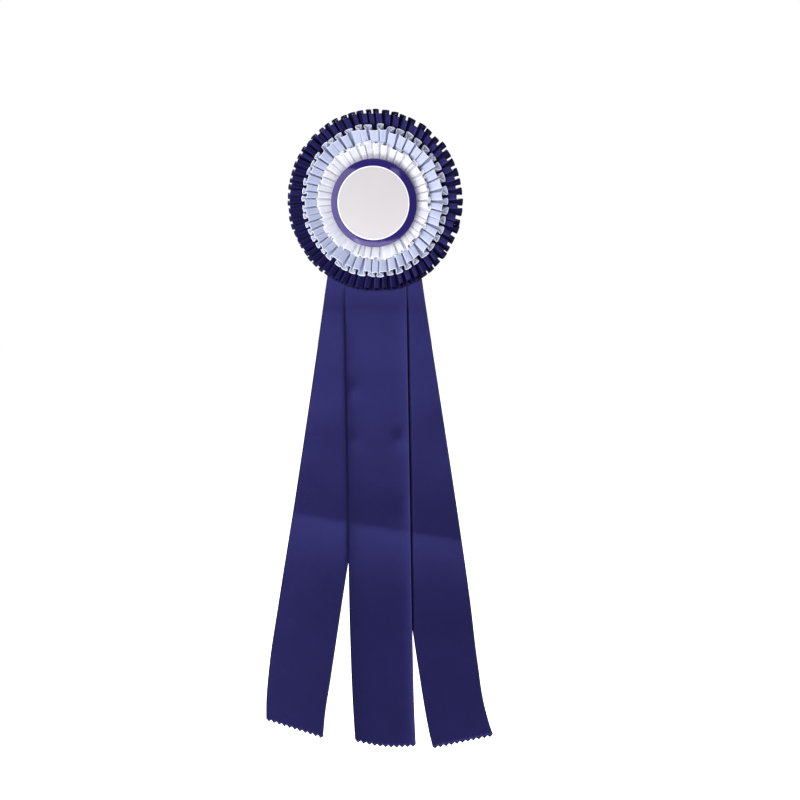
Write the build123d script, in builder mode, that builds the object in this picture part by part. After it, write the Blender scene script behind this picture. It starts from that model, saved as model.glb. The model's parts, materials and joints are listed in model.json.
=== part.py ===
from build123d import *
from math import cos, radians, tan
import os

# Award rosette: three box-pleated ruffles and a round button on a card, three ribbon tails, and a
# bar brooch pin on the back. Millimetres. +Z up, the face looks to -Y, the wearer is on the +Y side.
# The origin is the middle of the brooch needle. A "front" distance is measured from the needle
# towards the face, so front = -Y.

# ---- overall ------------------------------------------------------------------------------------
rosette_drop = 22.0  # the ruffles' centre below the needle
rosette_radius = 70.5
overall_height = 520.0
rosette_z = -rosette_drop

# ---- bar brooch pin -----------------------------------------------------------------------------
needle_radius = 0.45
needle_half = 16.0  # half of the needle's straight shaft
needle_point = 3.5
needle_point_radius = 0.08
knuckle_radius = 1.2
knuckle_width = 1.9
pivot_x = -needle_half - 1.1
pivot_radius = 0.4
pivot_head_radius = 0.8
pivot_head = 0.3
running_gap = 0.05
ear_thickness = 0.6
plate_front_gap = 2.5  # needle axis to the plate's back face
plate_thickness = 0.6
plate_length = 41.0
plate_width = 6.0
catch_start = 14.0
catch_width = 3.4
catch_inner = 1.1
catch_outer = 1.6
catch_flange = 0.6
collar_outer = 2.15
slot_width = 1.4
collar_tab_reach = 4.0
collar_tab_width = 1.4
collar_tab_thickness = 0.7
rivet_spacing = 20.0
rivet_radius = 1.0
rivet_head_radius = 1.6
rivet_head = 0.5

# ---- cards --------------------------------------------------------------------------------------
card_thickness = 1.2
back_card_radius = 43.0
front_card_radius = 53.0
back_card_front = plate_front_gap + plate_thickness

# ---- ribbon tails -------------------------------------------------------------------------------
tail_width = 50.8
head_thickness = 0.8  # the ribbon's folded and glued end between the cards
tail_thickness = 0.4
head_top = 30.0  # above the ruffles' centre
flex_depth = 74.0  # where the tails bend, below the ruffles' centre
flex_gap = 0.6
pinking_teeth = 11
pinking_depth = 2.0
tails_front = back_card_front + card_thickness
face_front = tails_front + 3 * head_thickness + card_thickness

# ---- staples and glue ---------------------------------------------------------------------------
staple_wire = 0.25
staple_half = 5.0
staple_offset = 18.5
staple_pocket = 0.6
glue_radius = 4.0
glue_offset = 36.0

# ---- ruffles ------------------------------------------------------------------------------------
stitch_radius = 0.25
ribbon_layers = 1.2  # thickness of the stitched band
navy_pleats = 63
blue_pleats = 47
white_pleats = 40
navy_outer = rosette_radius
blue_outer = 59.2
white_outer = 45.8
navy_inner = 47.0
blue_inner = 35.5
white_inner = 23.0
scallop = 1.6  # depth of the notch between two pleats at the edge

# ---- button -------------------------------------------------------------------------------------
button_radius = 34.3
button_drop = 1.5  # glued this far below the ruffles' centre
button_wall = 0.9
button_skirt = 4.5  # in front of the front card
button_crown = 9.7
button_floor = 9.0
button_recess_radius = 28.8
backing_radius = 28.6
backing_thickness = 0.5
face_radius = 27.6
face_thickness = 0.2
pad_radius = 14.0

rosette_axis = Axis((0, 0, rosette_z), (0, 1, 0))
profile_plane = Plane(origin=(0, 0, rosette_z), x_dir=(1, 0, 0), z_dir=(0, 0, 1))
button_z = rosette_z - button_drop
button_axis = Axis((0, 0, button_z), (0, 1, 0))
button_plane = Plane(origin=(0, 0, button_z), x_dir=(1, 0, 0), z_dir=(0, 0, 1))
needle_axis = Axis((0, 0, 0), (1, 0, 0))


def face_plane(front):
    """The vertical plane at this front distance, drawn as seen from the face."""
    return Plane.XZ.offset(front)


def profile_points(pairs):
    """(radius, distance in front of the front card) pairs as points of the revolved profile."""
    return [(radius, -(face_front + ahead)) for radius, ahead in pairs]


def zigzag(start, end, teeth, depth):
    """A pinked cut from start to end, with its teeth pointing down."""
    points = []
    for i in range(teeth):
        for share, drop in ((i, 0.0), (i + 0.5, depth)):
            x = start[0] + (end[0] - start[0]) * share / teeth
            z = start[1] + (end[1] - start[1]) * share / teeth
            points.append((x, z - drop))
    return points + [end]


def edge_point(tail, side, below):
    """A point on a tail's left (-1) or right (1) edge, this far below the ruffles' centre."""
    start_x, lean = tail[:2]
    half = tail_width / 2 / cos(radians(lean))
    return (start_x + tan(radians(lean)) * below + side * half, rosette_z - below)


# start of the centre line, lean in degrees, and where the cut meets the left and right edges
lowest = overall_height - rosette_radius - pinking_depth
tail_left_line = (-4.0, -9.15, 430.5, 442.0)
tail_centre_line = (0.3, 0.75, lowest, lowest)
tail_right_line = (2.0, 8.6, 443.0, 429.5)


def head_outline(tail):
    """A tail's hidden end, from above the ruffles' centre down to where the tail bends."""
    low = flex_depth - flex_gap / 2
    corners = ((-1, -head_top), (1, -head_top), (1, low), (-1, low))
    return [edge_point(tail, side, below) for side, below in corners]


def tail_outline(tail):
    """A tail's free length, with its pinked end."""
    high = flex_depth + flex_gap / 2
    top_left = edge_point(tail, -1, high)
    top_right = edge_point(tail, 1, high)
    end_left = edge_point(tail, -1, tail[2])
    end_right = edge_point(tail, 1, tail[3])
    return [top_left] + zigzag(end_left, end_right, pinking_teeth, pinking_depth) + [top_right]


# ---- pin plate: a strip with two ears that hold the pivot ----------------------------------------
with BuildPart() as pin_plate:
    with BuildSketch(face_plane(plate_front_gap)):
        SlotOverall(plate_length, plate_width)
        with GridLocations(rivet_spacing, 0, 2, 1):
            Circle(rivet_radius, mode=Mode.SUBTRACT)
    extrude(amount=plate_thickness)
    ear_offset = knuckle_width / 2 + running_gap
    for low in (ear_offset, -ear_offset - ear_thickness):
        with BuildSketch(Plane.XY.offset(low)):
            with Locations((pivot_x, -plate_front_gap / 2)):
                Rectangle(2 * knuckle_radius, plate_front_gap)
            with Locations((pivot_x, 0)):
                Circle(knuckle_radius)
                Circle(pivot_radius, mode=Mode.SUBTRACT)
        extrude(amount=ear_thickness)

# ---- needle: knuckle, straight shaft and ground point --------------------------------------------
with BuildPart() as pin_needle:
    with BuildSketch(Plane.XY.offset(-knuckle_width / 2)):
        with Locations((pivot_x, 0)):
            Circle(knuckle_radius)
    extrude(amount=knuckle_width)
    with BuildSketch(Plane.XY):
        with BuildLine():
            Polyline(
                (pivot_x, 0),
                (pivot_x, needle_radius),
                (needle_half, needle_radius),
                (needle_half + needle_point, needle_point_radius),
                (needle_half + needle_point, 0),
                close=True,
            )
        make_face()
    revolve(axis=needle_axis)
    with Locations((pivot_x, 0, 0)):
        Cylinder(pivot_radius + running_gap, 2 * knuckle_width, mode=Mode.SUBTRACT)

# ---- pivot: a headed pin through both ears and the knuckle ---------------------------------------
ears_outside = knuckle_width / 2 + running_gap + ear_thickness
with BuildPart() as pin_pivot:
    with Locations((pivot_x, 0, 0)):
        Cylinder(pivot_radius, 2 * ears_outside)
    with Locations(
        (pivot_x, 0, ears_outside + pivot_head / 2),
        (pivot_x, 0, -ears_outside - pivot_head / 2),
    ):
        Cylinder(pivot_head_radius, pivot_head)
    fillet(pin_pivot.faces().sort_by(Axis.Z)[-1].edges(), 0.12)
    fillet(pin_pivot.faces().sort_by(Axis.Z)[0].edges(), 0.12)

# ---- catch: a slotted tube between two footed flanges --------------------------------------------
catch_end = catch_start + catch_width
flange_starts = (catch_start, catch_end - catch_flange)
with BuildPart() as pin_catch:
    with BuildSketch(Plane.YZ.offset(catch_start)):
        Circle(catch_outer)
    extrude(amount=catch_width)
    for start in flange_starts:
        with BuildSketch(Plane.YZ.offset(start)):
            Circle(collar_outer)
            with Locations((-plate_front_gap / 2, 0)):
                Rectangle(plate_front_gap, 2 * collar_outer)
        extrude(amount=catch_flange)
    with BuildSketch(Plane.YZ.offset(catch_start)):
        Circle(catch_inner)
        with Locations((collar_outer, 0)):
            Rectangle(2 * collar_outer, slot_width)
    extrude(amount=catch_width, mode=Mode.SUBTRACT)

# ---- collar: turns on the catch tube and shuts its slot ------------------------------------------
collar_start = catch_start + catch_flange + running_gap
collar_width = catch_width - 2 * catch_flange - 2 * running_gap
with BuildPart() as pin_collar:
    with BuildSketch(Plane.YZ.offset(collar_start)):
        Circle(collar_outer)
    extrude(amount=collar_width)
    with BuildSketch(Plane.YZ.offset(collar_start + (collar_width - collar_tab_width) / 2)):
        with Locations((0, -collar_tab_reach / 2)):
            RectangleRounded(collar_tab_thickness, collar_tab_reach, collar_tab_thickness * 0.45)
    extrude(amount=collar_tab_width)
    with BuildSketch(Plane.YZ.offset(collar_start)):
        Circle(catch_outer + running_gap)
        with Locations((collar_outer, 0)):
            Rectangle(2 * collar_outer, slot_width)
    extrude(amount=collar_width, mode=Mode.SUBTRACT)

# ---- rivets that hold the plate to the back card -------------------------------------------------
rivet_shank = plate_thickness + card_thickness - rivet_head
with BuildPart() as pin_rivets:
    with BuildSketch(face_plane(plate_front_gap)):
        with GridLocations(rivet_spacing, 0, 2, 1):
            Circle(rivet_radius)
    extrude(amount=rivet_shank)
    with BuildSketch(face_plane(plate_front_gap - rivet_head)):
        with GridLocations(rivet_spacing, 0, 2, 1):
            Circle(rivet_head_radius)
    extrude(amount=rivet_head)
    with BuildSketch(face_plane(plate_front_gap + rivet_shank)):
        with GridLocations(rivet_spacing, 0, 2, 1):
            Circle(rivet_head_radius)
    extrude(amount=rivet_head)
    fillet(pin_rivets.faces().sort_by(Axis.Y)[-2:].edges(), 0.3)

# ---- back card: carries the pin, with sunk seats for the rivets and the staple ends --------------
with BuildPart() as back_card:
    with BuildSketch(face_plane(back_card_front)):
        with Locations((0, rosette_z)):
            Circle(back_card_radius)
        with GridLocations(rivet_spacing, 0, 2, 1):
            Circle(rivet_radius, mode=Mode.SUBTRACT)
    extrude(amount=card_thickness)
    with BuildSketch(face_plane(tails_front - rivet_head)):
        with GridLocations(rivet_spacing, 0, 2, 1):
            Circle(rivet_head_radius)
    extrude(amount=rivet_head, mode=Mode.SUBTRACT)
    with BuildSketch(face_plane(tails_front - staple_pocket)):
        with Locations((0, rosette_z)):
            with GridLocations(0, 2 * staple_offset, 1, 2):
                Rectangle(2 * staple_half + 6 * staple_wire, 6 * staple_wire)
    extrude(amount=staple_pocket, mode=Mode.SUBTRACT)

# ---- front card: everything on the face is sewn or glued to it -----------------------------------
with BuildPart() as front_card:
    with BuildSketch(face_plane(face_front - card_thickness)):
        with Locations((0, rosette_z)):
            Circle(front_card_radius)
            with GridLocations(2 * staple_half, 2 * staple_offset, 2, 2):
                Circle(staple_wire, mode=Mode.SUBTRACT)
    extrude(amount=card_thickness)

# ---- glue that joins the two cards beside the tails ----------------------------------------------
with BuildPart() as card_glue_spots:
    with BuildSketch(face_plane(tails_front)):
        with Locations((0, rosette_z + glue_radius)):
            with GridLocations(2 * glue_offset, 0, 2, 1):
                Circle(glue_radius)
    extrude(amount=3 * head_thickness)

# ---- tail heads: glued between the cards, one behind the other -----------------------------------
with BuildPart() as tail_left_head:
    with BuildSketch(face_plane(tails_front)):
        with BuildLine():
            Polyline(*head_outline(tail_left_line), close=True)
        make_face()
        with Locations((0, rosette_z)):
            with GridLocations(2 * staple_half, 2 * staple_offset, 2, 2):
                Circle(staple_wire, mode=Mode.SUBTRACT)
    extrude(amount=head_thickness)

with BuildPart() as tail_right_head:
    with BuildSketch(face_plane(tails_front + head_thickness)):
        with BuildLine():
            Polyline(*head_outline(tail_right_line), close=True)
        make_face()
        with Locations((0, rosette_z)):
            with GridLocations(2 * staple_half, 2 * staple_offset, 2, 2):
                Circle(staple_wire, mode=Mode.SUBTRACT)
    extrude(amount=head_thickness)

with BuildPart() as tail_centre_head:
    with BuildSketch(face_plane(tails_front + 2 * head_thickness)):
        with BuildLine():
            Polyline(*head_outline(tail_centre_line), close=True)
        make_face()
        with Locations((0, rosette_z)):
            with GridLocations(2 * staple_half, 2 * staple_offset, 2, 2):
                Circle(staple_wire, mode=Mode.SUBTRACT)
    extrude(amount=head_thickness)

# ---- tails: the free lengths that swing ----------------------------------------------------------
tail_inset = (head_thickness - tail_thickness) / 2
with BuildPart() as tail_left:
    with BuildSketch(face_plane(tails_front + tail_inset)):
        with BuildLine():
            Polyline(*tail_outline(tail_left_line), close=True)
        make_face()
    extrude(amount=tail_thickness)

with BuildPart() as tail_right:
    with BuildSketch(face_plane(tails_front + head_thickness + tail_inset)):
        with BuildLine():
            Polyline(*tail_outline(tail_right_line), close=True)
        make_face()
    extrude(amount=tail_thickness)

with BuildPart() as tail_centre:
    with BuildSketch(face_plane(tails_front + 2 * head_thickness + tail_inset)):
        with BuildLine():
            Polyline(*tail_outline(tail_centre_line), close=True)
        make_face()
    extrude(amount=tail_thickness)

# ---- staples: crown on the front card, ends clinched behind the tail heads -----------------------
staple_back = -tails_front + staple_wire
staple_face = -face_front - staple_wire
with BuildPart() as tail_staples:
    for level in (rosette_z + staple_offset, rosette_z - staple_offset):
        for side in (-1, 1):
            with BuildLine():
                Polyline(
                    (0, staple_face, level),
                    (side * staple_half, staple_face, level),
                    (side * staple_half, staple_back, level),
                    (side * staple_wire * 6, staple_back, level),
                )
            with BuildSketch(Plane(origin=(0, staple_face, level), z_dir=(side, 0, 0))):
                Circle(staple_wire)
            sweep(transition=Transition.RIGHT)

# ---- ruffles: each opens from a flat stitched band to a deep pleated edge ------------------------
navy_profile = (
    (navy_inner, 0.0),
    (navy_inner, ribbon_layers),
    (navy_inner + 4.0, ribbon_layers),
    (navy_inner + 6.0, ribbon_layers + 0.4),
    (navy_outer, 7.0),
    (navy_outer, 0.0),
)
blue_profile = (
    (blue_inner, 0.0),
    (blue_inner, ribbon_layers),
    (blue_inner + 4.0, ribbon_layers),
    (blue_inner + 5.5, ribbon_layers + 0.5),
    (blue_inner + 11.0, 4.4),
    (blue_outer, 9.4),
    (blue_outer, 4.2),
    (navy_inner + 6.0, 2.3),
    (navy_inner - 0.5, 1.9),
    (blue_inner + 4.0, 0.0),
)
white_profile = (
    (white_inner, 0.0),
    (white_inner, ribbon_layers),
    (white_inner + 4.0, ribbon_layers),
    (white_inner + 5.5, ribbon_layers + 0.5),
    (button_radius + button_drop + 0.3, 4.2),
    (white_outer, 9.4),
    (white_outer, 4.9),
    (blue_inner + 5.0, 2.3),
    (blue_inner - 0.5, 1.9),
    (white_inner + 4.0, 0.0),
)


def scalloped(outer, pleats):
    """A toothed disc outline that gives a ruffle one tooth for each pleat."""
    points = []
    for i in range(pleats):
        points.append(Vector(outer, 0).rotate(Axis.Z, 360 * i / pleats))
        points.append(Vector(outer - scallop, 0).rotate(Axis.Z, 360 * (i + 0.5) / pleats))
    return points


with BuildPart() as navy_ruffle:
    with BuildSketch(profile_plane):
        with BuildLine():
            Polyline(*profile_points(navy_profile), close=True)
        make_face()
    revolve(axis=rosette_axis)
    with BuildSketch(face_plane(face_front - 1.0)):
        with Locations((0, rosette_z)):
            Polygon(*scalloped(navy_outer, navy_pleats), align=None)
    extrude(amount=12.0, mode=Mode.INTERSECT)

with BuildPart() as blue_ruffle:
    with BuildSketch(profile_plane):
        with BuildLine():
            Polyline(*profile_points(blue_profile), close=True)
        make_face()
    revolve(axis=rosette_axis)
    with BuildSketch(face_plane(face_front - 1.0)):
        with Locations((0, rosette_z)):
            Polygon(*scalloped(blue_outer, blue_pleats), align=None)
    extrude(amount=12.0, mode=Mode.INTERSECT)

with BuildPart() as white_ruffle:
    with BuildSketch(profile_plane):
        with BuildLine():
            Polyline(*profile_points(white_profile), close=True)
        make_face()
    revolve(axis=rosette_axis)
    with BuildSketch(face_plane(face_front - 1.0)):
        with Locations((0, rosette_z)):
            Polygon(*scalloped(white_outer, white_pleats), align=None)
    extrude(amount=12.0, mode=Mode.INTERSECT)

# ---- stitching: a line of thread round each ruffle's flat band -----------------------------------
stitch_ahead = ribbon_layers + stitch_radius
with BuildPart() as navy_ruffle_stitching:
    with BuildSketch(profile_plane):
        with Locations(profile_points([(navy_inner + 2.5, stitch_ahead)])[0]):
            Circle(stitch_radius)
    revolve(axis=rosette_axis)

with BuildPart() as blue_ruffle_stitching:
    with BuildSketch(profile_plane):
        with Locations(profile_points([(blue_inner + 2.5, stitch_ahead)])[0]):
            Circle(stitch_radius)
    revolve(axis=rosette_axis)

with BuildPart() as white_ruffle_stitching:
    with BuildSketch(profile_plane):
        with Locations(profile_points([(white_inner + 2.5, stitch_ahead)])[0]):
            Circle(stitch_radius)
    revolve(axis=rosette_axis)

# ---- button: foam pad, back plate, rounded shell, and two discs flush with the shell's face ------
with BuildPart() as button_foam_pad:
    with BuildSketch(face_plane(face_front)):
        with Locations((0, button_z)):
            Circle(pad_radius)
    extrude(amount=button_skirt)

with BuildPart() as button_back_plate:
    with BuildSketch(face_plane(face_front + button_skirt)):
        with Locations((0, button_z)):
            Circle(button_radius - button_wall - 0.1)
    extrude(amount=0.8)

shell_outer = profile_points(
    [
        (button_radius, button_skirt),
        (button_radius, button_skirt + 1.0),
        (button_radius - 0.7, button_crown - 2.2),
        (button_radius - 2.6, button_crown - 0.7),
        (button_recess_radius, button_crown),
        (button_recess_radius, button_floor),
    ]
)
shell_inner = profile_points(
    [
        (0, button_floor),
        (0, button_floor - button_wall),
        (button_recess_radius + 0.6, button_floor - button_wall),
        (button_radius - 3.2, button_crown - 1.9),
        (button_radius - 1.6, button_crown - 3.0),
        (button_radius - button_wall, button_skirt + 1.0),
        (button_radius - button_wall, button_skirt),
    ]
)
with BuildPart() as button_shell:
    with BuildSketch(button_plane):
        with BuildLine():
            Line(shell_outer[0], shell_outer[1])
            Spline(*shell_outer[1:5], tangents=[(0, -1), (-1, -0.15)])
            Line(shell_outer[4], shell_outer[5])
            Polyline(shell_outer[5], *shell_inner, shell_outer[0])
        make_face()
    revolve(axis=button_axis)

with BuildPart() as button_backing_disc:
    with BuildSketch(face_plane(face_front + button_floor)):
        with Locations((0, button_z)):
            Circle(backing_radius)
    extrude(amount=backing_thickness)

with BuildPart() as button_face_disc:
    with BuildSketch(face_plane(face_front + button_floor + backing_thickness)):
        with Locations((0, button_z)):
            Circle(face_radius)
    extrude(amount=face_thickness)

# ---- export: one file for each piece -------------------------------------------------------------
os.makedirs("parts", exist_ok=True)

pin_plate.part.label = "pin_plate"
export_step(pin_plate.part, "parts/pin_plate.step")
pin_needle.part.label = "pin_needle"
export_step(pin_needle.part, "parts/pin_needle.step")
pin_pivot.part.label = "pin_pivot"
export_step(pin_pivot.part, "parts/pin_pivot.step")
pin_catch.part.label = "pin_catch"
export_step(pin_catch.part, "parts/pin_catch.step")
pin_collar.part.label = "pin_collar"
export_step(pin_collar.part, "parts/pin_collar.step")
pin_rivets.part.label = "pin_rivets"
export_step(pin_rivets.part, "parts/pin_rivets.step")
back_card.part.label = "back_card"
export_step(back_card.part, "parts/back_card.step")
front_card.part.label = "front_card"
export_step(front_card.part, "parts/front_card.step")
card_glue_spots.part.label = "card_glue_spots"
export_step(card_glue_spots.part, "parts/card_glue_spots.step")
tail_left_head.part.label = "tail_left_head"
export_step(tail_left_head.part, "parts/tail_left_head.step")
tail_right_head.part.label = "tail_right_head"
export_step(tail_right_head.part, "parts/tail_right_head.step")
tail_centre_head.part.label = "tail_centre_head"
export_step(tail_centre_head.part, "parts/tail_centre_head.step")
tail_left.part.label = "tail_left"
export_step(tail_left.part, "parts/tail_left.step")
tail_right.part.label = "tail_right"
export_step(tail_right.part, "parts/tail_right.step")
tail_centre.part.label = "tail_centre"
export_step(tail_centre.part, "parts/tail_centre.step")
tail_staples.part.label = "tail_staples"
export_step(tail_staples.part, "parts/tail_staples.step")
navy_ruffle.part.label = "navy_ruffle"
export_step(navy_ruffle.part, "parts/navy_ruffle.step")
blue_ruffle.part.label = "blue_ruffle"
export_step(blue_ruffle.part, "parts/blue_ruffle.step")
white_ruffle.part.label = "white_ruffle"
export_step(white_ruffle.part, "parts/white_ruffle.step")
navy_ruffle_stitching.part.label = "navy_ruffle_stitching"
export_step(navy_ruffle_stitching.part, "parts/navy_ruffle_stitching.step")
blue_ruffle_stitching.part.label = "blue_ruffle_stitching"
export_step(blue_ruffle_stitching.part, "parts/blue_ruffle_stitching.step")
white_ruffle_stitching.part.label = "white_ruffle_stitching"
export_step(white_ruffle_stitching.part, "parts/white_ruffle_stitching.step")
button_foam_pad.part.label = "button_foam_pad"
export_step(button_foam_pad.part, "parts/button_foam_pad.step")
button_back_plate.part.label = "button_back_plate"
export_step(button_back_plate.part, "parts/button_back_plate.step")
button_shell.part.label = "button_shell"
export_step(button_shell.part, "parts/button_shell.step")
button_backing_disc.part.label = "button_backing_disc"
export_step(button_backing_disc.part, "parts/button_backing_disc.step")
button_face_disc.part.label = "button_face_disc"
export_step(button_face_disc.part, "parts/button_face_disc.step")
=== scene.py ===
import json
import math

import bpy
import numpy as np
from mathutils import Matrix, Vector


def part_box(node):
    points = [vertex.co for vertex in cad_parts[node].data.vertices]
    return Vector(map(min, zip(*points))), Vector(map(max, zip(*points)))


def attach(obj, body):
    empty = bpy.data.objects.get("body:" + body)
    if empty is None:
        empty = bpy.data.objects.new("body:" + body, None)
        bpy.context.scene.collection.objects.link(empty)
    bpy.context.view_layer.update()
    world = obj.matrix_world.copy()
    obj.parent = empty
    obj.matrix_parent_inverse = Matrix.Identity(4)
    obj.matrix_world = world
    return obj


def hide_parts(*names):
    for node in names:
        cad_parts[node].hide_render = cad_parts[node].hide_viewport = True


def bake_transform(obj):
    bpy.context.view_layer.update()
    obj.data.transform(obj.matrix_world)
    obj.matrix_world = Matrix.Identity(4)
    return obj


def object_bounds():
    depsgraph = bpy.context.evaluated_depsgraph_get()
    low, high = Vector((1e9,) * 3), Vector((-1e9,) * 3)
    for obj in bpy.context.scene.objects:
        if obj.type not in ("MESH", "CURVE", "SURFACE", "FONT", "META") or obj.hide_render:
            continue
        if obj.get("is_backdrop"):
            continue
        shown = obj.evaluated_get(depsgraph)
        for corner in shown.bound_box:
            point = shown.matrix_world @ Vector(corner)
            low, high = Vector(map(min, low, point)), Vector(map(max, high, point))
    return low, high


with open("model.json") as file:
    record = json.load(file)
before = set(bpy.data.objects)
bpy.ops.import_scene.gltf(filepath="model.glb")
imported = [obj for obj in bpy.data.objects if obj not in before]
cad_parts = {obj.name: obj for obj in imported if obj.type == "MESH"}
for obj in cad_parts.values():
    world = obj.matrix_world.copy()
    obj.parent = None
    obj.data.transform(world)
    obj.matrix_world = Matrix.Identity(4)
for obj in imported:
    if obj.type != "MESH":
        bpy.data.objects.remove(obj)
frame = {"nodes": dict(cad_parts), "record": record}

cad_low, cad_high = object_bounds()
MM = 0.001
nodes = frame["nodes"]

# ---------------------------------------------------------------- frame
card_low, card_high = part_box("front_card")
FACE_Y = card_low.y  # the front card's face
CENTRE_Z = (card_low.z + card_high.z) / 2
TAIL_Y = {n: (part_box(n)[0].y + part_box(n)[1].y) / 2 for n in ("tail_left", "tail_centre", "tail_right")}


# ---------------------------------------------------------------- camera
def aim(obj, target):
    obj.rotation_mode = "QUATERNION"
    direction = Vector(target) - obj.location
    obj.rotation_quaternion = direction.to_track_quat("-Z", "Y")


AZIMUTH, ELEVATION, DISTANCE = math.radians(12), math.radians(9), 1.3
TARGET = Vector((0.0193, -0.008, -0.1789))
LENS_MM, SENSOR_MM = 73.75, 36
back = Vector((math.sin(AZIMUTH) * math.cos(ELEVATION),
               -math.cos(AZIMUTH) * math.cos(ELEVATION),
               math.sin(ELEVATION)))
cam_data = bpy.data.cameras.new("camera")
cam_data.lens = LENS_MM
cam_data.sensor_width = SENSOR_MM
camera = bpy.data.objects.new("camera", cam_data)
bpy.context.scene.collection.objects.link(camera)
camera.location = TARGET + back * DISTANCE
aim(camera, TARGET)
bpy.context.scene.camera = camera
bpy.context.scene.view_settings.view_transform = "Standard"
bpy.context.scene.view_settings.look = "None"


# ---------------------------------------------------------------- node helpers
class Nodes:
    """One material's node tree round a Principled shader; coordinates come out in millimetres."""

    def __init__(self, name):
        self.mat = bpy.data.materials.new(name)
        self.mat.use_nodes = True
        self.tree = self.mat.node_tree
        self.tree.nodes.clear()
        self.out = self.add("ShaderNodeOutputMaterial")
        self.bsdf = self.add("ShaderNodeBsdfPrincipled")
        self.link(self.bsdf.outputs[0], self.out.inputs["Surface"])

    def add(self, kind, **props):
        node = self.tree.nodes.new(kind)
        for key, value in props.items():
            setattr(node, key, value)
        return node

    def link(self, a, b):
        self.tree.links.new(a, b)

    def feed(self, socket, value):
        if isinstance(value, bpy.types.NodeSocket):
            self.link(value, socket)
        else:
            socket.default_value = value

    def math(self, op, a, b=0.0, clamp=False):
        n = self.add("ShaderNodeMath", operation=op, use_clamp=clamp)
        self.feed(n.inputs[0], a)
        self.feed(n.inputs[1], b)
        return n.outputs[0]

    def ramp(self, value, *stops):
        n = self.add("ShaderNodeValToRGB")
        n.color_ramp.interpolation = "EASE"
        elements = n.color_ramp.elements
        while len(elements) < len(stops):
            elements.new(0.5)
        for e, (pos, col) in zip(elements, stops):
            e.position = pos
            e.color = (*col, 1) if hasattr(col, "__len__") else (col, col, col, 1)
        self.link(value, n.inputs[0])
        return n.outputs[0]

    def mix(self, fac, a, b, blend="MIX"):
        n = self.add("ShaderNodeMix", data_type="RGBA", blend_type=blend)
        self.feed(n.inputs[0], fac)
        self.feed(n.inputs[6], (*a, 1) if isinstance(a, tuple) else a)
        self.feed(n.inputs[7], (*b, 1) if isinstance(b, tuple) else b)
        return n.outputs[2]

    def span(self, value, low, high):
        n = self.add("ShaderNodeMapRange")
        self.link(value, n.inputs[0])
        n.inputs[3].default_value = low
        n.inputs[4].default_value = high
        return n.outputs[0]

    def coords(self, scale=1000.0, stretch=(1, 1, 1)):
        t = self.add("ShaderNodeTexCoord")
        m = self.add("ShaderNodeMapping")
        m.inputs["Scale"].default_value = [scale * s for s in stretch]
        self.link(t.outputs["Object"], m.inputs[0])
        return m.outputs[0]

    def uv(self, stretch=(1, 1, 1)):
        t = self.add("ShaderNodeUVMap", uv_map="ribbon")
        m = self.add("ShaderNodeMapping")
        m.inputs["Scale"].default_value = [1000.0 * s for s in stretch]
        self.link(t.outputs[0], m.inputs[0])
        return m.outputs[0]

    def noise(self, vector, scale, detail=3.0, rough=0.5, distort=0.0):
        n = self.add("ShaderNodeTexNoise")
        self.link(vector, n.inputs["Vector"])
        n.inputs["Scale"].default_value = scale
        n.inputs["Detail"].default_value = detail
        n.inputs["Roughness"].default_value = rough
        n.inputs["Distortion"].default_value = distort
        return n.outputs[0]

    def wave(self, vector, scale, direction, distort):
        n = self.add("ShaderNodeTexWave", bands_direction=direction)
        self.link(vector, n.inputs["Vector"])
        n.inputs["Scale"].default_value = scale
        n.inputs["Distortion"].default_value = distort
        n.inputs["Detail Scale"].default_value = 0.6
        return n.outputs["Fac"]

    def bump(self, height, strength, distance, normal=None):
        n = self.add("ShaderNodeBump")
        n.inputs["Strength"].default_value = strength
        n.inputs["Distance"].default_value = distance
        self.link(height, n.inputs["Height"])
        if normal is not None:
            self.link(normal, n.inputs["Normal"])
        return n.outputs[0]

    def set(self, **values):
        for key, value in values.items():
            self.feed(self.bsdf.inputs[key.replace("_", " ")], value)
        return self.mat


WARP_LINES = 2.2  # wave scale of the threads along a ribbon
DARK_EDGE = (0.006, 0.006, 0.022)  # the tails' outermost threads, in their own shadow


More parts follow.
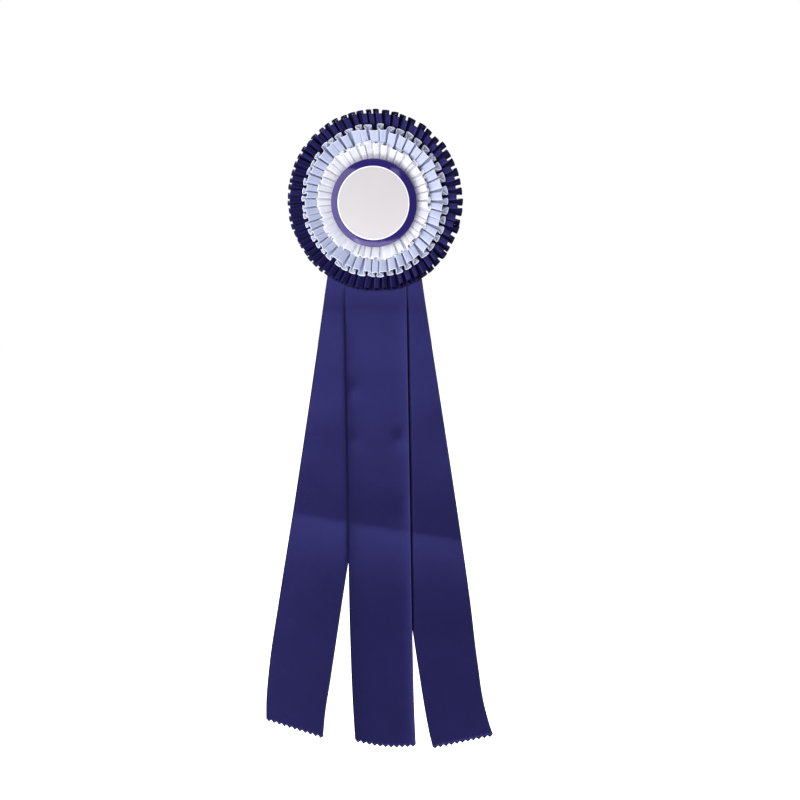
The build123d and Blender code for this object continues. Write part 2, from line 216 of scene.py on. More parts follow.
def ribbon_material(name, base, shade, edge_col, fold_highlight_col, width, ribs, metallic, rough, sheen, aniso,
                    edge_mm, gloss, glow=0.0, edge_shade=0.0):
    """Woven ribbon: warp lines along the length, weft ribs across, soft colour drift and folds painted
    lighter as a highlight.

    The selvedge is edge_mm wide; where its colour is lighter than the ribbon it is partly a painted
    highlight. The last argument is painted shade: how dark the outermost threads and the cut end are drawn,
    for the shadow along the edges.
    """
    n = Nodes(name)
    uv = n.uv()
    warp = n.wave(uv, WARP_LINES, "Y", 0.4)
    weft = n.wave(uv, ribs, "X", 0.5)
    drift = n.noise(uv, 0.035, 2.0)
    mottled = n.noise(n.uv((0.35, 1.6, 1)), 0.5, 3.0)
    tone = n.math("ADD", n.math("MULTIPLY", drift, 0.6), n.math("MULTIPLY", mottled, 0.4))
    colour = n.ramp(tone, (0.3, shade), (0.7, base))
    threads = n.math("ADD", n.math("MULTIPLY", warp, 0.5), n.math("MULTIPLY", weft, 0.5))
    colour = n.mix(0.35, colour, n.ramp(threads, (0.0, 0.72), (1.0, 1.0)), "MULTIPLY")
    # painted highlight: the fold edges get a lighter colour, made patchy by noise, standing for light
    # catching the folds
    fold = n.add("ShaderNodeAttribute", attribute_name="fold").outputs["Fac"]
    painted_fold_highlight = n.math("MULTIPLY", fold, n.ramp(n.noise(uv, 1.1, 3.0), (0.35, 0.35), (0.65, 1.0)))
    colour = n.mix(painted_fold_highlight, colour, fold_highlight_col)
    across = n.add("ShaderNodeSeparateXYZ")
    n.link(uv, across.inputs[0])
    to_edge = n.math("MINIMUM", across.outputs[1], n.math("SUBTRACT", width, across.outputs[1]))
    edge_share = n.math("DIVIDE", to_edge, 2 * edge_mm, clamp=True)
    # the selvedge colour is partly the woven edge's own colour and, where it is lighter than the ribbon, a
    # painted highlight along the edge
    selvedge = n.ramp(edge_share, (0.35, 1.0), (0.6, 0.0))
    colour = n.mix(selvedge, colour, edge_col)
    # painted shade: the outermost threads and the cut end are drawn dark for the shadow along the tails'
    # edges
    outermost = n.ramp(edge_share, (0.3, edge_shade), (0.55, 0.0))
    cut = n.add("ShaderNodeAttribute", attribute_name="cut").outputs["Fac"]
    outermost = n.math("MAXIMUM", outermost, n.ramp(cut, (0.3, 0.0), (0.6, edge_shade)))
    colour = n.mix(outermost, colour, DARK_EDGE)
    roughness = n.span(n.noise(n.uv((0.2, 1.0, 1)), 0.8, 3.0), rough - 0.03, rough + 0.03)
    fine = n.bump(threads, 0.25, 0.00006)
    cord = n.bump(selvedge, 0.4, 0.00012, fine)
    n.set(Base_Color=colour, Roughness=roughness, Metallic=metallic, Anisotropic=aniso, Normal=cord,
          Sheen_Weight=sheen, Sheen_Roughness=0.45, Specular_IOR_Level=gloss,
          Subsurface_Weight=glow, Subsurface_Scale=0.0015)
    n.bsdf.inputs["Subsurface Radius"].default_value = (1.0, 1.0, 1.0)
    tangent = n.add("ShaderNodeTangent", direction_type="UV_MAP", uv_map="ribbon")
    n.link(tangent.outputs[0], n.bsdf.inputs["Tangent"])
    return n.mat


NAVY_W, BLUE_W, WHITE_W, TAIL_W = 24.0, 25.0, 24.0, 50.8  # ribbon widths, mm
navy_pleat_mat = ribbon_material(
    "navy_pleated_satin", base=(0.0140, 0.0115, 0.080), shade=(0.0100, 0.0085, 0.060),
    edge_col=(0.010, 0.009, 0.04), fold_highlight_col=(0.040, 0.034, 0.18), width=NAVY_W, ribs=1.4,
    metallic=0.35, rough=0.36, sheen=0.0, aniso=0.3, edge_mm=0.35, gloss=0.08)
blue_pleat_mat = ribbon_material(
    "pale_blue_pleated_ribbon", base=(0.515, 0.555, 0.745), shade=(0.425, 0.465, 0.655),
    edge_col=(0.88, 0.90, 0.97), fold_highlight_col=(0.64, 0.69, 0.86), width=BLUE_W, ribs=1.0,
    metallic=0.0, rough=0.45, sheen=0.1, aniso=0.3, edge_mm=0.45, gloss=0.35, glow=0.05)
white_pleat_mat = ribbon_material(
    "white_pleated_ribbon", base=(0.905, 0.915, 1.0), shade=(0.865, 0.875, 0.98),
    edge_col=(1.0, 1.0, 1.0), fold_highlight_col=(0.97, 0.97, 1.0), width=WHITE_W, ribs=1.0,
    metallic=0.0, rough=0.5, sheen=0.1, aniso=0.3, edge_mm=0.45, gloss=0.2, glow=0.4)
tail_mat = ribbon_material(
    "navy_satin_tail", base=(0.0205, 0.0190, 0.098), shade=(0.0185, 0.0170, 0.089),
    edge_col=(0.048, 0.045, 0.15), fold_highlight_col=(0.03, 0.028, 0.13), width=TAIL_W, ribs=1.1,
    metallic=0.62, rough=0.22, sheen=0.0, aniso=0.0, edge_mm=0.75, gloss=0.1, edge_shade=0.9)


def steel_material():
    n = Nodes("nickel_plated_steel")
    pos = n.coords()
    cloud = n.noise(pos, 0.35, 4.0)
    scratch = n.noise(n.coords(stretch=(0.25, 3.0, 3.0)), 2.5, 5.0, 0.7)
    colour = n.ramp(cloud, (0.3, (0.60, 0.585, 0.56)), (0.7, (0.78, 0.775, 0.765)))
    n.set(Base_Color=colour, Metallic=1.0, Roughness=n.span(scratch, 0.16, 0.38),
          Normal=n.bump(scratch, 0.12, 0.00004))
    return n.mat


def card_material():
    n = Nodes("white_card")
    pos = n.coords()
    fibre = n.noise(pos, 2.2, 6.0, 0.75)
    streak = n.noise(n.coords(stretch=(3.0, 1.0, 0.6)), 0.9, 4.0, 0.6, 0.6)
    colour = n.ramp(n.noise(pos, 0.05, 3.0), (0.3, (0.80, 0.79, 0.76)), (0.7, (0.88, 0.875, 0.85)))
    colour = n.mix(0.35, colour, n.ramp(fibre, (0.35, 0.86), (0.65, 1.0)), "MULTIPLY")
    n.set(Base_Color=colour, Roughness=n.span(streak, 0.72, 0.92),
          Normal=n.bump(n.math("ADD", fibre, streak), 0.25, 0.00008))
    return n.mat


def glue_material():
    n = Nodes("hot_melt_glue")
    pos = n.coords()
    ripple = n.noise(pos, 0.5, 2.0, 0.4, 1.0)
    n.set(Base_Color=n.ramp(ripple, (0.3, (0.62, 0.56, 0.42)), (0.7, (0.78, 0.73, 0.60))), IOR=1.46,
          Roughness=n.span(ripple, 0.18, 0.36), Subsurface_Weight=0.35, Subsurface_Scale=0.002,
          Normal=n.bump(ripple, 0.5, 0.0005))
    n.bsdf.inputs["Subsurface Radius"].default_value = (1.0, 0.8, 0.5)
    return n.mat


def foam_material():
    n = Nodes("white_foam_tape")
    pos = n.coords()
    cells = n.add("ShaderNodeTexVoronoi")
    n.link(pos, cells.inputs["Vector"])
    cells.inputs["Scale"].default_value = 2.4
    depth = cells.outputs["Distance"]
    n.set(Base_Color=n.ramp(depth, (0.0, (0.55, 0.55, 0.53)), (0.6, (0.86, 0.86, 0.83))),
          Roughness=n.span(n.noise(pos, 1.0), 0.85, 1.0), Normal=n.bump(depth, 0.7, 0.0003))
    return n.mat


def plastic_material():
    n = Nodes("white_plastic")
    pos = n.coords()
    grain = n.noise(pos, 3.0, 4.0)
    colour = n.ramp(n.noise(pos, 0.08, 2.0), (0.3, (0.86, 0.86, 0.87)), (0.7, (0.93, 0.93, 0.94)))
    n.set(Base_Color=colour, Roughness=n.span(grain, 0.35, 0.5), Normal=n.bump(grain, 0.08, 0.00004))
    return n.mat


def gloss_material():
    """Navy printed rim under clear film: deep colour, faint print grain, polished coat."""
    n = Nodes("navy_gloss_rim")
    pos = n.coords()
    drift = n.noise(pos, 0.06, 2.0)
    grain = n.noise(pos, 5.0, 3.0)
    colour = n.ramp(drift, (0.3, (0.014, 0.008, 0.122)), (0.7, (0.018, 0.011, 0.148)))
    colour = n.mix(0.25, colour, n.ramp(grain, (0.3, 0.8), (0.7, 1.0)), "MULTIPLY")
    film = n.bump(n.noise(pos, 0.25, 1.5), 0.06, 0.0003)
    n.set(Base_Color=colour, Roughness=n.span(grain, 0.10, 0.16), Coat_Weight=0.36, Coat_Roughness=0.08,
          Coat_IOR=1.6, Specular_Tint=(0.55, 0.38, 0.75, 1), Normal=film)
    n.link(film, n.bsdf.inputs["Coat Normal"])
    return n.mat


def face_material():
    """Blank pale satin face: fine grain, a slow tone drift, and painted light that makes it lighter towards
    the bottom.
    """
    n = Nodes("satin_silver_face")
    pos = n.coords()
    grain = n.noise(pos, 6.0, 4.0, 0.6)
    drift = n.noise(pos, 0.03, 2.0)
    height = n.add("ShaderNodeSeparateXYZ")
    n.link(pos, height.inputs[0])
    # painted light: the colour grows lighter towards the bottom, as if lit from below
    painted_light_slope = n.math("MULTIPLY", height.outputs[2], -0.012)
    tone = n.math("ADD", painted_light_slope, n.math("MULTIPLY", drift, 0.5))
    colour = n.ramp(tone, (0.1, (0.530, 0.500, 0.508)), (0.95, (0.598, 0.570, 0.578)))
    colour = n.mix(0.2, colour, n.ramp(grain, (0.35, 0.94), (0.65, 1.0)), "MULTIPLY")
    n.set(Base_Color=colour, Metallic=0.1, Roughness=n.span(grain, 0.36, 0.46), Coat_Weight=0.1,
          Coat_Roughness=0.2, Normal=n.bump(grain, 0.05, 0.00003))
    return n.mat


def thread_material(name, dark, light):
    n = Nodes(name)
    twist = n.wave(n.coords(), 1.6, "DIAGONAL", 0.2)
    fuzz = n.noise(n.coords(), 4.0, 4.0)
    n.set(Base_Color=n.ramp(twist, (0.1, dark), (0.8, light)), Roughness=n.span(fuzz, 0.55, 0.75),
          Sheen_Weight=0.3, Normal=n.bump(twist, 0.5, 0.0001))
    return n.mat


finishes = {
    "plated_steel": steel_material(),
    "card": card_material(),
    "glue": glue_material(),
    "foam": foam_material(),
    "white_plastic": plastic_material(),
    "navy_gloss": gloss_material(),
    "silver_face": face_material(),
}
for part in frame["record"]["subparts"]:
    finish = finishes.get(part["material_slot"])
    if finish is not None:
        mesh = nodes[part["node"]].data
        mesh.materials.clear()
        mesh.materials.append(finish)


# ---------------------------------------------------------------- meshes
def make_object(name, verts, faces, mat, uvs=None, fold=None, smooth=True):
    mesh = bpy.data.meshes.new(name)
    mesh.from_pydata([tuple(v) for v in verts], [], [tuple(f) for f in faces])
    if uvs is not None:
        layer = mesh.uv_layers.new(name="ribbon")
        loops = np.empty(len(mesh.loops), np.int32)
        mesh.loops.foreach_get("vertex_index", loops)
        layer.data.foreach_set("uv", np.asarray(uvs, np.float32)[loops].ravel())
    if fold is not None:
        attribute = mesh.attributes.new("fold", "FLOAT", "POINT")
        attribute.data.foreach_set("value", np.asarray(fold, np.float32))
    mesh.polygons.foreach_set("use_smooth", [smooth] * len(mesh.polygons))
    mesh.materials.append(mat)
    obj = bpy.data.objects.new(name, mesh)
    bpy.context.scene.collection.objects.link(obj)
    return obj


def shell(grid, thick, closed):
    """Two faces of a thin sheet from its middle surface grid[row, column]; columns may close in a ring."""
    rows, cols = grid.shape[:2]
    if closed:
        along = np.roll(grid, -1, 1) - np.roll(grid, 1, 1)
    else:
        along = np.gradient(grid, axis=1)
    across = np.gradient(grid, axis=0)
    normal = np.cross(along, across)
    normal /= np.maximum(np.linalg.norm(normal, axis=2, keepdims=True), 1e-12)
    half = (thick if hasattr(thick, "shape") else np.full((rows, cols), thick))[..., None] / 2
    verts = np.concatenate([(grid + normal * half).reshape(-1, 3), (grid - normal * half).reshape(-1, 3)])
    n = rows * cols
    j, i = np.meshgrid(np.arange(rows - 1), np.arange(cols if closed else cols - 1), indexing="ij")
    a = (j * cols + i).ravel()
    b = (j * cols + (i + 1) % cols).ravel()
    c, d = b + cols, a + cols
    faces = [np.stack([a, b, c, d], 1), np.stack([d, c, b, a], 1) + n]
    i = np.arange(cols if closed else cols - 1)
    k = (i + 1) % cols
    faces.append(np.stack([i + n, k + n, k, i], 1))
    top = (rows - 1) * cols
    faces.append(np.stack([i + top, k + top, k + top + n, i + top + n], 1))
    if not closed:
        j = np.arange(rows - 1)
        s, t = j * cols, (j + 1) * cols
        faces.append(np.stack([s, t, t + n, s + n], 1))
        s, t = s + cols - 1, t + cols - 1
        faces.append(np.stack([s + n, t + n, t, s], 1))
    return verts, np.concatenate(faces)


def smooth_ring(values, times):
    """A weighted mean of each value and its two neighbours round a closed ring, repeated."""
    for _ in range(times):
        values = (np.roll(values, 1, -1) + 2 * values + np.roll(values, -1, -1)) / 4
    return values


RIBBON_THICK = 0.22  # mm
RUFFLE_BEAD, TAIL_BEAD = 0.16, 0.10  # extra thickness of the selvedge, mm
RUFFLE_ROWS = 26
FRONT_STEPS, SIDE_STEPS, BACK_STEPS = 8, 6, 7  # mesh columns in a pleat's front, each side and back


def ruffle(name, node, mat, seed, count, width, inner, front_r, back_r, front_w, back_w, base, lift,
           bow, wild, soft, squeeze, warp=(0.0, 0.0), shift=(0.0, 0.0)):
    """A ribbon in box pleats round the centre. Lengths in mm.

    base is (radius, height) of the back panels and lift is (share of the width, rise) of the front ones.
    bow is a front panel's hump, the dip of its edge and the bulge of a back loop's edge.
    wild is the spread of the pitch, panel width, height, lean and reach from pleat to pleat.
    """
    rng = np.random.default_rng(seed)
    edges = np.linspace(0, 2 * np.pi, count + 1)[:-1]
    gaps = 1 + warp[0] * np.cos(edges) + warp[1] * np.sin(edges) + rng.normal(0, wild[0], count)
    gaps *= 2 * np.pi / gaps.sum()
    starts = np.concatenate([[0], np.cumsum(gaps)[:-1]])
    fw = front_w * (1 + rng.normal(0, wild[1], count)) * gaps / gaps.mean()
    bw = back_w * (1 + rng.normal(0, wild[1], count)) * gaps / gaps.mean()
    tilt = rng.normal(0, wild[2], (count, 2))
    deep = rng.normal(0, wild[2] * 0.6, (count, 2))
    lean = rng.normal(0, wild[3], (count, 2))
    reach = rng.normal(0, wild[4], (count, 2))
    v = np.linspace(0, 1, RUFFLE_ROWS)
    low = np.interp(inner + v * (back_r - inner), *zip(*base))
    up = np.interp(v, *zip(*lift))
    grid = []
    marks = []
    for j in range(RUFFLE_ROWS):
        angle, rise, radius, mark = [], [], [], []
        rf = inner + v[j] * (front_r - inner)
        rb = inner + v[j] * (back_r - inner)
        for k in range(count):
            nxt = (k + 1) % count
            span, after = gaps[k], gaps[nxt]
            mid = starts[k] + span / 2
            half_f = min(fw[k], 0.95 * span * rf) / 2 / rf
            seam = starts[k] + span
            half_b = min(bw[k], 0.93 * min(span, after) * rb) / 2 / rb
            swing_f = lean[k, 0] * v[j] ** 1.6 / rf
            swing_b = lean[k, 1] * v[j] ** 1.6 / rb
            swing_n = lean[nxt, 0] * v[j] ** 1.6 / rf
            half_n = min(fw[nxt], 0.95 * after * rf) / 2 / rf
            mid_n = seam + after / 2
            f1, f2 = mid - half_f + swing_f, mid + half_f + swing_f
            b1, b2 = seam - half_b + swing_b, seam + half_b + swing_b
            g1 = mid_n - half_n + swing_n
            ef1, ef2 = 1 + tilt[k, 0], 1 + tilt[k, 1]
            eb1, eb2 = deep[k, 0], deep[k, 1]
            eg1 = 1 + tilt[nxt, 0]
            pf, pb, pg = reach[k, 0], reach[k, 1], reach[nxt, 0]
            s = np.arange(FRONT_STEPS) / FRONT_STEPS
            hump = 4 * s * (1 - s)
            angle.append(f1 + (f2 - f1) * s)
            rise.append(ef1 + (ef2 - ef1) * s + bow[0] * hump)
            radius.append(np.full(FRONT_STEPS, pf) - bow[1] * hump)
            # fold edges: the material paints these lighter as a highlight
            mark.append(np.where(s < 0.13, 1.0, 0.0))
            s = np.arange(SIDE_STEPS) / SIDE_STEPS
            angle.append(f2 + (b1 - f2) * s)
            rise.append(ef2 + (eb1 - ef2) * s)
            radius.append(pf + (pb - pf) * s)
            mark.append(np.where(s < 0.1, 1.0, 0.0))
            s = np.arange(BACK_STEPS) / BACK_STEPS
            hump = 4 * s * (1 - s)
            angle.append(b1 + (b2 - b1) * s)
            rise.append(eb1 + (eb2 - eb1) * s)
            radius.append(pb + bow[2] * hump)
            mark.append(np.zeros(BACK_STEPS))
            s = np.arange(SIDE_STEPS) / SIDE_STEPS
            angle.append(b2 + (g1 - b2) * s)
            rise.append(eb2 + (eg1 - eb2) * s)
            radius.append(pb + (pg - pb) * s)
            mark.append(np.zeros(SIDE_STEPS))
        angle = np.concatenate(angle)
        rise = smooth_ring(np.concatenate(rise), soft)
        offset = smooth_ring(np.concatenate(radius), soft) * v[j] ** 2
        turn = np.linspace(0, 2 * np.pi, len(angle), endpoint=False)
        wobble = angle - turn
        wobble = wobble - 2 * np.pi * np.round(wobble / (2 * np.pi))
        angle = turn + smooth_ring(wobble, soft)
        r = rb + (rf - rb) * rise + offset
        h = low[j] + up[j] * rise
        x = r * np.cos(angle) * (1 - squeeze * v[j]) + shift[0] * v[j]
        z = r * np.sin(angle) + shift[1] * v[j]
        grid.append(np.stack([x * MM, FACE_Y - h * MM, CENTRE_Z + z * MM], 1))
        marks.append(smooth_ring(np.concatenate(mark), 1))
    grid = np.array(grid)
    marks = np.array(marks)
    cols = grid.shape[1]
    profile = RIBBON_THICK + RUFFLE_BEAD * np.exp(-(((1 - v) * width) / 0.45) ** 2)
    verts, faces = shell(grid, np.repeat(profile[:, None], cols, 1) * MM, True)
    step = np.linalg.norm(np.roll(grid[-1], -1, 0) - grid[-1], axis=1)
    along = np.concatenate([[0], np.cumsum(step)[:-1]])
    uv = np.stack([np.repeat(along[None], RUFFLE_ROWS, 0), np.repeat((v * width * MM)[:, None], cols, 1)], 2)
    uv = uv.reshape(-1, 2)
    obj = make_object(name, verts, faces, mat, np.concatenate([uv, uv]), np.tile(marks.ravel(), 2))
    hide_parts(node)
    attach(obj, "rosette")
    around = np.roll(grid, -1, 1)[:-1] - grid[:-1]
    outward = grid[1:] - grid[:-1]
    return obj, float(np.linalg.norm(np.cross(around, outward), axis=2).sum())


ruffles = {
    "navy_ruffle": dict(
        mat=navy_pleat_mat, seed=3, count=63, width=NAVY_W, inner=47.0, front_r=67.6, back_r=70.6,
        front_w=4.4, back_w=5.5, base=[(47, 0.35), (53, 0.5), (70.5, 0.9)],
        lift=[(0, 0.5), (0.25, 1.2), (1, 6.2)], bow=(0.03, 0.0, 0.2), wild=(0.07, 0.10, 0.08, 0.45, 0.3),
        soft=1, squeeze=0.012, warp=(0.13, 0.02), shift=(-1.1, -0.4)),
    "blue_ruffle": dict(
        mat=blue_pleat_mat, seed=11, count=47, width=BLUE_W, inner=35.5, front_r=55.4, back_r=59.0,
        front_w=7.1, back_w=7.1, base=[(35.5, 0.35), (46.5, 2.3), (53, 3.8), (59.2, 5.0)],
        lift=[(0, 0.5), (0.3, 0.9), (0.5, 2.4), (1, 3.7)], bow=(0.05, 0.3, 0.4),
        wild=(0.11, 0.10, 0.12, 0.8, 0.35), soft=2, squeeze=0.014, warp=(0.08, 0.04)),
    "white_ruffle": dict(
        mat=white_pleat_mat, seed=23, count=44, width=WHITE_W, inner=23.0, front_r=44.1, back_r=45.7,
        front_w=6.1, back_w=6.0, base=[(23, 0.35), (35, 3.1), (40.5, 4.4), (45.8, 5.1)],
        lift=[(0, 0.5), (0.5, 0.55), (0.8, 1.1), (1, 1.9)], bow=(0.04, 0.2, 0.4),
        wild=(0.2, 0.18, 0.25, 0.9, 0.7), soft=3, squeeze=0.008, shift=(-0.5, 0.0)),
}
for name, settings in ruffles.items():
    obj, area = ruffle(name + "_pleats", name, **settings)


# ---------------------------------------------------------------- stitches
def stitches(name, node, radius, count, height, mat):
    """A row of running stitches: each a short capsule that dips into the ribbon at its ends."""
    verts, faces = [], []
    sides, steps = 8, 9
    for k in range(count):
        mid = 2 * math.pi * (k + 0.5) / count
        half = 0.34 * 2 * math.pi / count
        first = len(verts)
        for s in range(steps):
            t = -1 + 2 * s / (steps - 1)
            a = mid + half * t
            lift = height + 0.22 * (1 - t * t)
            rad = 0.20 * math.sqrt(max(1 - (0.94 * t) ** 6, 0.05))
            centre = Vector((radius * math.cos(a), -lift, radius * math.sin(a)))
            out = Vector((math.cos(a), 0, math.sin(a)))
            for q in range(sides):
                w = 2 * math.pi * q / sides
                p = centre + out * (rad * math.cos(w)) + Vector((0, -rad * math.sin(w), 0))
                verts.append((p.x * MM, FACE_Y + p.y * MM, CENTRE_Z + p.z * MM))
        for s in range(steps - 1):
            for q in range(sides):
                a, b = first + s * sides + q, first + s * sides + (q + 1) % sides
                faces.append((a, b, b + sides, a + sides))
        faces.append(tuple(first + q for q in reversed(range(sides))))
        faces.append(tuple(first + (steps - 1) * sides + q for q in range(sides)))
    obj = make_object(name, verts, faces, mat)
    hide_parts(node)
    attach(obj, "rosette")


navy_thread = thread_material("navy_thread", (0.02, 0.02, 0.07), (0.06, 0.055, 0.17))
pale_thread = thread_material("pale_thread", (0.62, 0.63, 0.68), (0.85, 0.86, 0.90))
for node, thread, count in (("navy_ruffle_stitching", navy_thread, 84),
                            ("blue_ruffle_stitching", pale_thread, 66),
                            ("white_ruffle_stitching", pale_thread, 46)):
    low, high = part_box(node)
    ring = (high.x - low.x) / 2 / MM - 0.25
    stitches(node + "_row", node, ring, count, (FACE_Y - high.y) / MM + 0.2, thread)


# ---------------------------------------------------------------- button
def turned(name, centre_z, profile, mat, segments=192):
    """A ring turned round the button's axis from (radius, mm in front of the card) points, closed."""
    turn = np.linspace(0, 2 * np.pi, segments, endpoint=False)
    pts = np.array(profile)
    verts = np.stack([np.outer(np.cos(turn), pts[:, 0]) * MM,
                      np.repeat(FACE_Y - pts[None, :, 1] * MM, segments, 0),
                      centre_z + np.outer(np.sin(turn), pts[:, 0]) * MM], 2).reshape(-1, 3)
    m = len(pts)
    faces = []
    for k in range(segments):
        n = (k + 1) % segments
        faces += [(k * m + i, k * m + (i + 1) % m, n * m + (i + 1) % m, n * m + i) for i in range(m)]
    return make_object(name, verts, faces, mat)


def round_path(points, radius, steps=6):
    """The closed path with each corner rounded."""
    out = []
    for i, (x, y) in enumerate(points):
        p = Vector((x, y))
        a = Vector(points[i - 1]) - p
        b = Vector(points[(i + 1) % len(points)]) - p
        r = min(radius[i], a.length * 0.45, b.length * 0.45)
        for k in range(steps + 1):
            t = k / steps
            q = p + a.normalized() * r * (1 - t) ** 2 + b.normalized() * r * t**2
            out.append((q.x, q.y))
    return out


shell_low, shell_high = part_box("button_shell")
BUTTON_Z = (shell_low.z + shell_high.z) / 2
BUTTON_R = (shell_high.x - shell_low.x) / 2 / MM
disc_low, disc_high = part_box("button_backing_disc")
RECESS_R = (disc_high.x - disc_low.x) / 2 / MM + 0.2
crown = (FACE_Y - shell_low.y) / MM
skirt = (FACE_Y - shell_high.y) / MM
floor_h = (FACE_Y - disc_high.y) / MM
rim = round_path([(RECESS_R, crown - 0.02), (BUTTON_R - 0.25, crown - 1.75), (BUTTON_R, crown - 2.6),
                  (BUTTON_R - 1.1, skirt), (BUTTON_R - 1.9, skirt), (BUTTON_R - 1.3, crown - 3.4),
                  (RECESS_R + 0.4, floor_h - 0.9), (6.0, floor_h - 0.9), (6.0, floor_h), (RECESS_R, floor_h)],
                 [0.25, 0.7, 0.8, 0.3, 0.3, 0.8, 0.5, 0.2, 0.2, 0.1])
shell_piece = turned("button_shell_gloss", BUTTON_Z, rim, finishes["navy_gloss"])
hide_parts("button_shell")
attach(shell_piece, "rosette")


# ---------------------------------------------------------------- tails
def curve(points, t):
    """Smooth curve through points, each (t, value...)."""
    pts = np.array(points, float)
    x, y = pts[:, 0], pts[:, 1:]
    d = np.zeros_like(y)
    h = np.diff(x)[:, None]
    m = np.diff(y, axis=0) / h
    d[1:-1] = (m[:-1] * h[1:] + m[1:] * h[:-1]) / (h[:-1] + h[1:])
    d[0], d[-1] = m[0], m[-1]
    k = np.clip(np.searchsorted(x, t, "right") - 1, 0, len(x) - 2)
    s = ((t - x[k]) / (x[k + 1] - x[k]))[:, None]
    hk = (x[k + 1] - x[k])[:, None]
    return ((2 * s**3 - 3 * s**2 + 1) * y[k] + (s**3 - 2 * s**2 + s) * hk * d[k]
            + (-2 * s**3 + 3 * s**2) * y[k + 1] + (s**3 - s**2) * hk * d[k + 1])


CREASE_Z, CREASE_SLOPE = -262.3, -0.108
TILTS = [  # the tails' slow bends: (mm along the tail, lean in degrees), the same on all three
    (30, 0), (-60, 0), (-78, -3.1), (-94, -1.4), (-110, 0.2), (-127, 0.1), (-143, -0.3), (-158, 0.3),
    (-191, 0.15), (-224, 0.2), (-236, -0.6), (-244, -1.2), (-261.6, -1.2), (-263.2, 6.3), (-273, 6.0),
    (-282, 4.8), (-290, 3.6), (-298, 2.8), (-306, 1.8), (-323, 0.6), (-340, 0.5), (-380, 1.0),
    (-400, 1.6), (-425, 2.4), (-450, 3.2)]
sway_w = np.linspace(40, -460, 2001)
sway_s = np.tan(np.radians(np.interp(-sway_w, [-p[0] for p in TILTS], [p[1] for p in TILTS])))
kernel = np.hanning(7)
sway_s = np.convolve(np.pad(sway_s, 3, mode="edge"), kernel / kernel.sum(), "valid")
sway_y = np.concatenate([[0], np.cumsum((sway_s[1:] + sway_s[:-1]) / 2) * 0.25])

DENTS = {  # soft dimples: x, z, size and depth in mm
    "tail_left": ((-50.0, -178.0, 14.0, 0.6), (-60.0, -212.0, 10.0, 0.3), (-62.0, -330.0, 15.0, 0.3)),
    "tail_right": ((66.0, -215.0, 11.0, 0.3), (45.0, -160.0, 12.0, 0.4), (56.0, -345.0, 15.0, 0.3)),
    "tail_centre": ((-20.5, -151.0, 5.0, -0.6), (-19.5, -192.0, 4.5, -0.35), (19.5, -189.0, 5.0, -0.6),
                    (21.5, -249.0, 8.0, -0.5), (0.0, -330.0, 16.0, 0.3)),
}


def cloth_y(name, x, z):
    """How far a pressed tail bows away from flat (mm, positive towards the viewer)."""
    w = z - CREASE_SLOPE * x
    bow = np.interp(-w, -sway_w, sway_y)
    for cx, cz, size, depth in DENTS[name]:
        bow = bow + depth * np.exp(-((x - cx) ** 2 + (z - cz) ** 2) / (2 * size**2))
    return bow


TAILS = {  # each edge is (share of the length, x, z) in mm from the ruffles' centre
    "tail_left": dict(
        left=[(0, -26.0, 34.0), (0.21, -41.6, -68.7), (0.42, -55.8, -160.8), (0.60, -69.2, -243.7),
              (0.78, -83.5, -328.7), (0.89, -91.8, -380.6), (0.965, -95.1, -415.5), (1.0, -95.3, -430.4)],
        right=[(0, 25.0, 25.9), (0.21, 9.3, -76.8), (0.42, -5.2, -168.9), (0.60, -18.0, -251.8),
               (0.78, -31.3, -336.9), (0.89, -39.3, -388.8), (0.965, -45.0, -425.5), (1.0, -46.4, -442.4)],
        lift=0.0, body="left_tail"),
    "tail_right": dict(
        left=[(0, -27.9, 26.2), (0.21, -12.4, -77.5), (0.42, 1.6, -164.9), (0.60, 13.9, -245.3),
              (0.78, 26.3, -326.9), (0.89, 34.3, -379.5), (0.965, 41.6, -423.0), (1.0, 46.0, -443.7)],
        right=[(0, 22.3, 33.8), (0.21, 37.7, -70.0), (0.42, 51.6, -157.3), (0.60, 64.4, -237.6),
               (0.78, 76.5, -319.2), (0.89, 82.8, -368.9), (0.965, 89.2, -407.0), (1.0, 95.6, -429.5)],
        lift=0.0, body="right_tail"),
    "tail_centre": dict(
        left=[(0, -26.2, 30.0), (0.24, -25.8, -83.0), (0.5, -24.2, -207.0), (0.81, -22.4, -358.4),
              (0.93, -20.4, -412.0), (1.0, -18.6, -441.8)],
        right=[(0, 23.4, 30.0), (0.24, 24.7, -83.0), (0.5, 27.0, -207.0), (0.81, 29.7, -358.4),
               (0.93, 31.0, -411.0), (1.0, 32.4, -442.0)],
        lift=1.0, body="centre_tail"),
}
TEETH = 11
TAIL_ROWS = 190
END_ARC = 3.0  # how far the middle of the centre tail's end hangs below its corners, mm
GROOVE = {"tail_left": 1.1, "tail_right": 0.45}  # how far a side tail sinks beside the centre one, mm


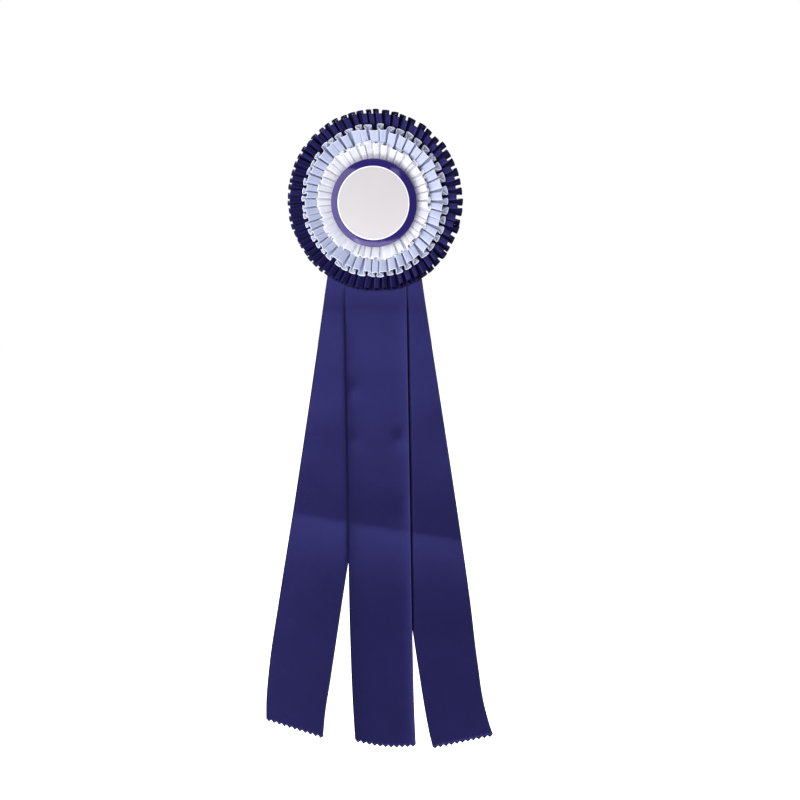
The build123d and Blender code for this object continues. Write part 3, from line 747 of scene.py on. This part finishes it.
def tail(name, left, right, lift, body):
    """A hanging ribbon between two edge curves with a pinked end; its edges come forward by lift."""
    u = np.sort(np.append(np.linspace(0, 1, TEETH * 8 + 1), (0.004, 0.996)))
    cols = len(u)
    t = np.linspace(0, 1, TAIL_ROWS)
    t = 1 - (1 - t) ** 1.04
    lx = curve(left, t)
    rx = curve(right, t)
    x = lx[:, 0:1] + (rx[:, 0:1] - lx[:, 0:1]) * u
    z = lx[:, 1:2] + (rx[:, 1:2] - lx[:, 1:2]) * u
    tooth = np.abs(((u * TEETH) % 1) - 0.5) * 2
    near_end = np.clip((t - 0.985) / 0.015, 0, 1)[:, None]
    z = z - near_end * (2.0 * (1 - tooth) - 1.7)[None]
    if name == "tail_centre":
        z = z - (np.clip((t - 0.9) / 0.1, 0, 1) ** 2)[:, None] * END_ARC * (1 - (2 * u - 1) ** 2)[None]
    bow = cloth_y(name, x, z)
    x = x + 0.21 * bow
    cup = lift * (np.abs(2 * u - 1) ** 5)[None] * np.clip((-z - 75) / 30, 0, 1)
    settle = np.clip((-z - 66) / 22, 0, 1)
    groove = 0.0
    if name in GROOVE:
        side, edge = (-1, "left") if name == "tail_left" else (1, "right")
        beside = curve([(-p[2], p[1]) for p in TAILS["tail_centre"][edge]], -z.ravel())
        outside = side * (x - beside[:, 0].reshape(x.shape))
        groove = GROOVE[name] * np.exp(-np.clip(outside, 0, None) / 1.7)
    y = TAIL_Y[name] / MM - bow * settle - cup + groove * settle
    grid = np.stack([x * MM, y * MM, CENTRE_Z + z * MM], 2)
    profile = (RIBBON_THICK + TAIL_BEAD * np.exp(-((u * TAIL_W) / 0.4) ** 2)
               + TAIL_BEAD * np.exp(-(((1 - u) * TAIL_W) / 0.4) ** 2))
    verts, faces = shell(grid, np.repeat(profile[None], TAIL_ROWS, 0) * MM, False)
    length = np.concatenate([[0], np.cumsum(np.linalg.norm(np.diff(grid[:, cols // 2], axis=0), axis=1))])
    uv = np.stack([np.repeat(length[:, None], cols, 1), np.repeat((u * TAIL_W * MM)[None], TAIL_ROWS, 0)], 2)
    uv = uv.reshape(-1, 2)
    # painted highlight: a lighter band of colour along the crease line
    crease = np.exp(-((z - CREASE_SLOPE * x - CREASE_Z) / 0.7) ** 2) * 0.35
    obj = make_object(name + "_ribbon", verts, faces, tail_mat, np.concatenate([uv, uv]),
                      np.tile(crease.ravel(), 2))
    cut = np.zeros((TAIL_ROWS, cols), np.float32)
    cut[-1] = 1
    attribute = obj.data.attributes.new("cut", "FLOAT", "POINT")
    attribute.data.foreach_set("value", np.tile(cut.ravel(), 2))
    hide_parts(name, name + "_head")
    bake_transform(obj)


for name, settings in TAILS.items():
    tail(name, **settings)


# ---------------------------------------------------------------- stage and light
FLOOR_DROP = 0.16  # below the tails' ends, m
FLOOR_RADIUS = 4.0
FLOOR_SIDES = 64


def stage_floor():
    n = Nodes("pale_floor")
    speck = n.noise(n.coords(scale=1.0), 40.0, 3.0)
    n.set(Base_Color=n.ramp(speck, (0.3, (0.90, 0.90, 0.90)), (0.7, (0.93, 0.93, 0.93))), Roughness=0.9,
          Emission_Color=(1, 1, 1, 1), Emission_Strength=1.1)
    height = cad_low.z - FLOOR_DROP
    turns = np.linspace(0, 2 * math.pi, FLOOR_SIDES + 1)[:-1]
    verts = [(math.cos(a) * FLOOR_RADIUS, math.sin(a) * FLOOR_RADIUS, height) for a in turns]
    floor = make_object("floor", verts, [tuple(range(FLOOR_SIDES))], n.mat, smooth=False)
    floor.visible_glossy = False
    floor.visible_diffuse = False
    floor.visible_shadow = False
    floor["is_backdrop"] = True


stage_floor()


def area_light(name, place, target, size, power, colour=(1, 1, 1)):
    data = bpy.data.lights.new(name, "AREA")
    data.shape = "RECTANGLE"
    data.size, data.size_y = size
    data.energy = power
    data.color = colour
    light = bpy.data.objects.new(name, data)
    bpy.context.scene.collection.objects.link(light)
    light.location = place
    aim(light, target)
    light.visible_camera = False


HEART = (0, 0, -0.12)
area_light("left_panel", (-0.96, -0.68, -0.25), (0, 0, -0.25), (1.0, 1.7), 15.6, (0.96, 0.96, 1.0))
area_light("low_panel", (0.0, -1.35, -1.59), (0, 0, -0.05), (2.4, 0.88), 27.0, (0.96, 0.96, 1.0))
area_light("top_panel", (0.15, -0.5, 1.0), HEART, (1.4, 0.8), 3.0)
area_light("right_panel", (1.05, -0.5, 0.1), HEART, (0.8, 1.3), 1.1)
area_light("front_panel", (-0.36, -1.6, -0.15), (0, 0, -0.15), (0.9, 0.7), 4.8)
area_light("small_lamp", (0.20, -1.4, 0.66), HEART, (0.22, 0.22), 0.35)
area_light("back_panel", (-0.7, 1.2, 1.1), HEART, (1.4, 1.4), 26.0)

world = bpy.data.worlds.new("studio")
bpy.context.scene.world = world
world.use_nodes = True
tree = world.node_tree
tree.nodes.clear()
out = tree.nodes.new("ShaderNodeOutputWorld")
mixer = tree.nodes.new("ShaderNodeMixShader")
path = tree.nodes.new("ShaderNodeLightPath")
dim = tree.nodes.new("ShaderNodeBackground")
bright = tree.nodes.new("ShaderNodeBackground")
dim.inputs[0].default_value = (0.96, 0.965, 1.0, 1)
dim.inputs[1].default_value = 0.28
bright.inputs[0].default_value = (1, 1, 1, 1)
bright.inputs[1].default_value = 1.0
tree.links.new(path.outputs["Is Camera Ray"], mixer.inputs[0])
tree.links.new(dim.outputs[0], mixer.inputs[1])
tree.links.new(bright.outputs[0], mixer.inputs[2])
tree.links.new(mixer.outputs[0], out.inputs[0])

low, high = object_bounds()
